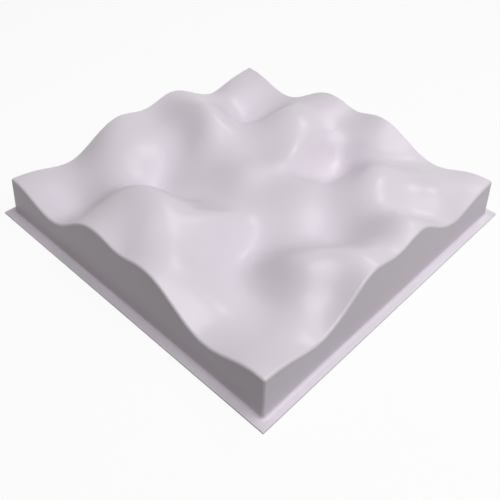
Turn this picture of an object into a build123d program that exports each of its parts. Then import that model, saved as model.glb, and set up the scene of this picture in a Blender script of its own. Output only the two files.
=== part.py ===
"""Thermoformed acoustic scattering panel: one plastic sheet drawn over a wavy mould.

The face is a smooth relief of hills and hollows inside a square rim. All four rims carry the same
symmetrical wave, so that panels meet edge to edge in any turn. From the rim the sheet runs down as
four drafted walls and turns out into a flat flange, which rests on a ceiling grid or is fixed to a
wall. The underside is open.

Millimetres. X and Y run along the sides, +Z is up. The origin is the centre of the flange's underside.
"""

import os

from build123d import *

# Plan
PANEL_SIDE = 603.0  # over the flange
FLANGE_WIDTH = 13.0  # from the wall's foot to the flange's edge

# Section
SHEET = 3.0  # thickness of the sheet
WALL_DRAFT = 4.5  # degrees that the walls lean in
BEND_RADIUS = 1.0  # inside of the bends along the rims and the upright corners
FOOT_RADIUS = 5.0  # inside of the bend from the walls out into the flange

# Heights of the face above the flange's underside, on a square lattice of even spacing.
# The wave along each rim, from its corner to its middle; the other half is its mirror image.
RIM_HALF_WAVE = (74.0, 67.0, 53.0, 78.0, 102.0, 93.0)
# The lattice inside the rims, mostly as fitted to a photograph's shading by a program and rounded to 5 mm:
# rows from the +Y side to the -Y side, each from -X to +X.
INNER_HEIGHTS = (
    (50.0, 60.0, 85.0, 85.0, 80.0, 105.0, 80.0, 50.0, 55.0),
    (40.0, 60.0, 60.0, 55.0, 70.0, 110.0, 70.0, 30.0, 40.0),
    (85.0, 90.0, 35.0, 45.0, 70.0, 85.0, 80.0, 80.0, 75.0),
    (110.0, 120.0, 60.0, 50.0, 75.0, 70.0, 85.0, 100.0, 95.0),
    (110.0, 110.0, 80.0, 60.0, 70.0, 75.0, 70.0, 70.0, 80.0),
    (100.0, 80.0, 65.0, 55.0, 65.0, 70.0, 40.0, 30.0, 70.0),
    (75.0, 50.0, 45.0, 50.0, 55.0, 70.0, 80.0, 80.0, 60.0),
    (55.0, 50.0, 90.0, 75.0, 50.0, 75.0, 90.0, 85.0, 65.0),
    (60.0, 60.0, 85.0, 105.0, 85.0, 100.0, 70.0, 80.0, 75.0),
)
RUN_OUT = 12.0  # level border of the lofted face outside the lattice, which the walls cut off

WALL_SIDE = PANEL_SIDE - 2 * FLANGE_WIDTH  # over the walls, at their foot
RIM_WAVE = RIM_HALF_WAVE + RIM_HALF_WAVE[-2::-1]
CELL = WALL_SIDE / (len(RIM_WAVE) - 1)
BLANK_HEIGHT = 2 * max(max(row) for row in (RIM_WAVE, *INNER_HEIGHTS))  # well clear of every hill


def stations():
    """Places of the lattice lines along a side, with the edges of the run-out at both ends."""
    lattice = [node * CELL - WALL_SIDE / 2 for node in range(len(RIM_WAVE))]
    return [lattice[0] - RUN_OUT, *lattice, lattice[-1] + RUN_OUT]


def with_border(line):
    """A line of heights, or of rows, with its ends repeated for the level run-out."""
    return [line[0], *line, line[-1]]


def face_rows():
    """Heights along each row of the face, from -Y to +Y, with the rims and the run-out."""
    inner_rows = [(rim, *row, rim) for rim, row in zip(RIM_WAVE[1:-1], reversed(INNER_HEIGHTS))]
    return [with_border(row) for row in with_border([RIM_WAVE, *inner_rows, RIM_WAVE])]


def bends_around(part, relief):
    """The rim edges of one side of the face, with the upright corner edges that run down from them."""
    corners = set(relief.vertices())
    return part.edges().filter_by(lambda edge: corners & set(edge.vertices()))


with BuildPart() as panel:
    # Block under the face, with drafted sides
    with BuildSketch():
        Rectangle(WALL_SIDE, WALL_SIDE)
    extrude(amount=BLANK_HEIGHT, taper=WALL_DRAFT)

    # The face, lofted through one profile for each row of the lattice
    places = stations()
    for y, heights in zip(places, face_rows()):
        with BuildSketch(Plane.XZ.offset(-y)):
            with BuildLine():
                crest = Spline(*zip(places, heights), tangents=((1, 0), (1, 0)))
                Polyline(crest @ 1, (places[-1], -BLANK_HEIGHT), (places[0], -BLANK_HEIGHT), crest @ 0)
            make_face()
    loft(mode=Mode.INTERSECT)

    # Hollowed from below to the sheet's thickness
    offset(amount=-SHEET, openings=panel.faces().sort_by(Axis.Z)[0])

    # Bends along the rims and the upright corners, on both sides of the sheet
    outer_relief = panel.faces().sort_by(Axis.Z)[-1]
    fillet(bends_around(panel, outer_relief), radius=BEND_RADIUS + SHEET)
    inner_relief = panel.faces().filter_by(GeomType.OFFSET)[0]
    fillet(bends_around(panel, inner_relief), radius=BEND_RADIUS)

    # Flange round the foot of the walls, and the bend into it on both sides of the sheet
    with BuildSketch():
        Rectangle(PANEL_SIDE, PANEL_SIDE)
        Rectangle(WALL_SIDE - SHEET, WALL_SIDE - SHEET, mode=Mode.SUBTRACT)
    extrude(amount=SHEET)
    flange_top = panel.faces().filter_by(Axis.Z).sort_by(Axis.Z)[-1]
    fillet(flange_top.inner_wires()[0].edges(), radius=FOOT_RADIUS)
    underside = panel.faces().filter_by(Axis.Z).sort_by(Axis.Z)[0]
    fillet(underside.inner_wires()[0].edges(), radius=FOOT_RADIUS + SHEET)

panel.part.label = "scattering_panel"

os.makedirs("parts", exist_ok=True)
export_step(panel.part, "parts/scattering_panel.step")
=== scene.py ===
"""Acoustic scattering panel in satin white plastic, on a white studio floor, seen over its front corner."""

from math import cos, radians, sin

import bpy
from mathutils import Matrix, Vector


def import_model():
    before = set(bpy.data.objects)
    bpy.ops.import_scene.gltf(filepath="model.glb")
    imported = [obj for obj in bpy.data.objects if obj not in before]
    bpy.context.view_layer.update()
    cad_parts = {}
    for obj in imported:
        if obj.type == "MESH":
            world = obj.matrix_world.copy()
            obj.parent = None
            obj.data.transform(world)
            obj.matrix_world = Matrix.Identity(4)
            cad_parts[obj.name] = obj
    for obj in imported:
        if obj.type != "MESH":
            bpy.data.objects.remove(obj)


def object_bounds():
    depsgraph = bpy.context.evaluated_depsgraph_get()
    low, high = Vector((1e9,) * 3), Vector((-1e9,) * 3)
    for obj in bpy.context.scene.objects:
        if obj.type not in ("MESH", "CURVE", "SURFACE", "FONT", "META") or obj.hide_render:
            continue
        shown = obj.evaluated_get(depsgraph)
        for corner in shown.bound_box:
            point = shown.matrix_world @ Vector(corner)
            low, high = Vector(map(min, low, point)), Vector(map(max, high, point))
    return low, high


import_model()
cad_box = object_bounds()

# Camera, fitted to the panel's corners and rims in the photograph
CAMERA_AT = Vector((-0.621, -0.561, 0.695))
CAMERA_AIM = Vector((-0.118, -0.102, 0.06))
CAMERA_ROLL = 1.84  # degrees, anticlockwise as the camera looks
LENS = 45.0  # millimetres
SENSOR = 36.0

# Plastic: a cool white, a little uneven from the forming heat, and the fine skin of the sheet
SHEET_COLOUR = (0.775, 0.722, 0.805)
SHEET_COLOUR_SHADE = (0.755, 0.702, 0.782)
SHEET_ROUGHNESS = (0.29, 0.33)
SHEET_IOR = 1.5
CLOUD_SCALE = 9.0
CLOUD_DETAIL = 3.0
CLOUD_RANGE = (0.35, 0.65)  # part of the noise that the tint runs over
SKIN_SCALE = 600.0
SKIN_DETAIL = 2.0
SKIN_STRENGTH = 0.12
SKIN_DEPTH = 0.0004

# Floor and surroundings
FLOOR_SIZE = 40.0
FLOOR_GAP = 0.0002  # keeps the floor clear of the underside of the flange
FLOOR_WHITE = (0.95, 0.95, 0.95)  # as it is seen, under the panel's shadow
FLOOR_GLOW = 0.9  # share of plain white in what is seen, which keeps the shadow faint
FLOOR_BOUNCE = (0.08, 0.08, 0.08)  # as it throws light back on the panel
AMBIENT = 0.15
AMBIENT_COLOUR = (1.0, 0.92, 0.86)
PANEL_CENTRE = Vector((0.0, 0.0, 0.06))


def noise(nodes, links, place, scale, detail):
    """Noise in the object's own space."""
    node = nodes.new("ShaderNodeTexNoise")
    node.inputs["Scale"].default_value = scale
    node.inputs["Detail"].default_value = detail
    links.new(place.outputs["Object"], node.inputs["Vector"])
    return node


def plastic():
    """Thermoformed sheet: slightly uneven white, satin, with a fine skin that breaks up the highlights."""
    material = bpy.data.materials.new("plastic_sheet_satin")
    material.use_nodes = True
    nodes, links = material.node_tree.nodes, material.node_tree.links
    shader = nodes["Principled BSDF"]
    shader.inputs["IOR"].default_value = SHEET_IOR
    place = nodes.new("ShaderNodeTexCoord")
    cloud = noise(nodes, links, place, CLOUD_SCALE, CLOUD_DETAIL)

    tint = nodes.new("ShaderNodeValToRGB")
    colours = (SHEET_COLOUR_SHADE, SHEET_COLOUR)
    for element, position, colour in zip(tint.color_ramp.elements, CLOUD_RANGE, colours):
        element.position = position
        element.color = (*colour, 1.0)
    links.new(cloud.outputs["Fac"], tint.inputs["Fac"])
    links.new(tint.outputs["Color"], shader.inputs["Base Color"])

    gloss = nodes.new("ShaderNodeMapRange")
    gloss.inputs["To Min"].default_value, gloss.inputs["To Max"].default_value = SHEET_ROUGHNESS
    links.new(cloud.outputs["Fac"], gloss.inputs["Value"])
    links.new(gloss.outputs["Result"], shader.inputs["Roughness"])

    skin = noise(nodes, links, place, SKIN_SCALE, SKIN_DETAIL)
    bump = nodes.new("ShaderNodeBump")
    bump.inputs["Strength"].default_value = SKIN_STRENGTH
    bump.inputs["Distance"].default_value = SKIN_DEPTH
    links.new(skin.outputs["Fac"], bump.inputs["Height"])
    links.new(bump.outputs["Normal"], shader.inputs["Normal"])
    return material


def seen_as(tree, look, light, output):
    """Gives one shader to the camera, to reflections and to glass, and another to all other light."""
    nodes, links = tree.nodes, tree.links
    path = nodes.new("ShaderNodeLightPath")
    seen = path.outputs["Is Camera Ray"]
    for ray in ("Is Glossy Ray", "Is Transmission Ray"):
        either = nodes.new("ShaderNodeMath")
        either.operation = "MAXIMUM"
        links.new(seen, either.inputs[0])
        links.new(path.outputs[ray], either.inputs[1])
        seen = either.outputs["Value"]
    mix = nodes.new("ShaderNodeMixShader")
    links.new(seen, mix.inputs["Fac"])
    links.new(light, mix.inputs[1])
    links.new(look, mix.inputs[2])
    links.new(mix.outputs["Shader"], output)


def floor():
    """White floor that keeps the panel's shadow."""
    bpy.ops.mesh.primitive_plane_add(size=FLOOR_SIZE, location=(0.0, 0.0, cad_box[0].z - FLOOR_GAP))
    plane = bpy.context.object
    plane.name = "floor"
    material = bpy.data.materials.new("floor_white")
    material.use_nodes = True
    tree = material.node_tree
    bounce = tree.nodes["Principled BSDF"]
    bounce.inputs["Base Color"].default_value = (*FLOOR_BOUNCE, 1.0)
    bounce.inputs["Roughness"].default_value = 1.0
    matt = tree.nodes.new("ShaderNodeBsdfDiffuse")
    matt.inputs["Color"].default_value = (*FLOOR_WHITE, 1.0)
    glow = tree.nodes.new("ShaderNodeEmission")
    look = tree.nodes.new("ShaderNodeMixShader")
    look.inputs["Fac"].default_value = FLOOR_GLOW
    tree.links.new(matt.outputs["BSDF"], look.inputs[1])
    tree.links.new(glow.outputs["Emission"], look.inputs[2])
    output = tree.nodes["Material Output"].inputs["Surface"]
    seen_as(tree, look.outputs["Shader"], bounce.outputs["BSDF"], output)
    plane.data.materials.append(material)


def world():
    """Even ambient light, and plain white where the surroundings are seen."""
    sky = bpy.data.worlds.new("studio")
    sky.use_nodes = True
    bpy.context.scene.world = sky
    tree = sky.node_tree
    ambient = tree.nodes["Background"]
    ambient.inputs["Color"].default_value = (*AMBIENT_COLOUR, 1.0)
    ambient.inputs["Strength"].default_value = AMBIENT
    white = tree.nodes.new("ShaderNodeBackground")
    white.inputs["Color"].default_value = (1.0, 1.0, 1.0, 1.0)
    output = tree.nodes["World Output"].inputs["Surface"]
    seen_as(tree, white.outputs["Background"], ambient.outputs["Background"], output)


def lamp(name, azimuth, elevation, distance, width, height, power):
    """Area lamp that looks at the panel from an azimuth counted from +X towards +Y."""
    a, e = radians(azimuth), radians(elevation)
    away = Vector((cos(e) * cos(a), cos(e) * sin(a), sin(e)))
    data = bpy.data.lights.new(name, "AREA")
    data.shape = "RECTANGLE"
    data.size = width
    data.size_y = height
    data.energy = power
    obj = bpy.data.objects.new(name, data)
    obj.location = PANEL_CENTRE + away * distance
    obj.rotation_euler = away.to_track_quat("Z", "Y").to_euler()
    bpy.context.collection.objects.link(obj)


def camera():
    """The photograph's viewpoint."""
    data = bpy.data.cameras.new("camera")
    data.lens = LENS
    data.sensor_width = SENSOR
    data.sensor_fit = "HORIZONTAL"
    obj = bpy.data.objects.new("camera", data)
    turn = (CAMERA_AIM - CAMERA_AT).to_track_quat("-Z", "Y").to_matrix().to_4x4()
    roll = Matrix.Rotation(radians(CAMERA_ROLL), 4, "Z")
    obj.matrix_world = Matrix.Translation(CAMERA_AT) @ turn @ roll
    bpy.context.collection.objects.link(obj)
    bpy.context.scene.camera = obj


panel = bpy.data.objects["scattering_panel"]
panel.material_slots[0].material = plastic()

floor()
world()
lamp("key", azimuth=274.0, elevation=65.0, distance=2.4, width=2.2, height=1.8, power=45.0)
lamp("highlight", azimuth=0.0, elevation=50.0, distance=2.0, width=0.25, height=0.25, power=3.0)
camera()

bpy.context.scene.view_settings.view_transform = "Standard"
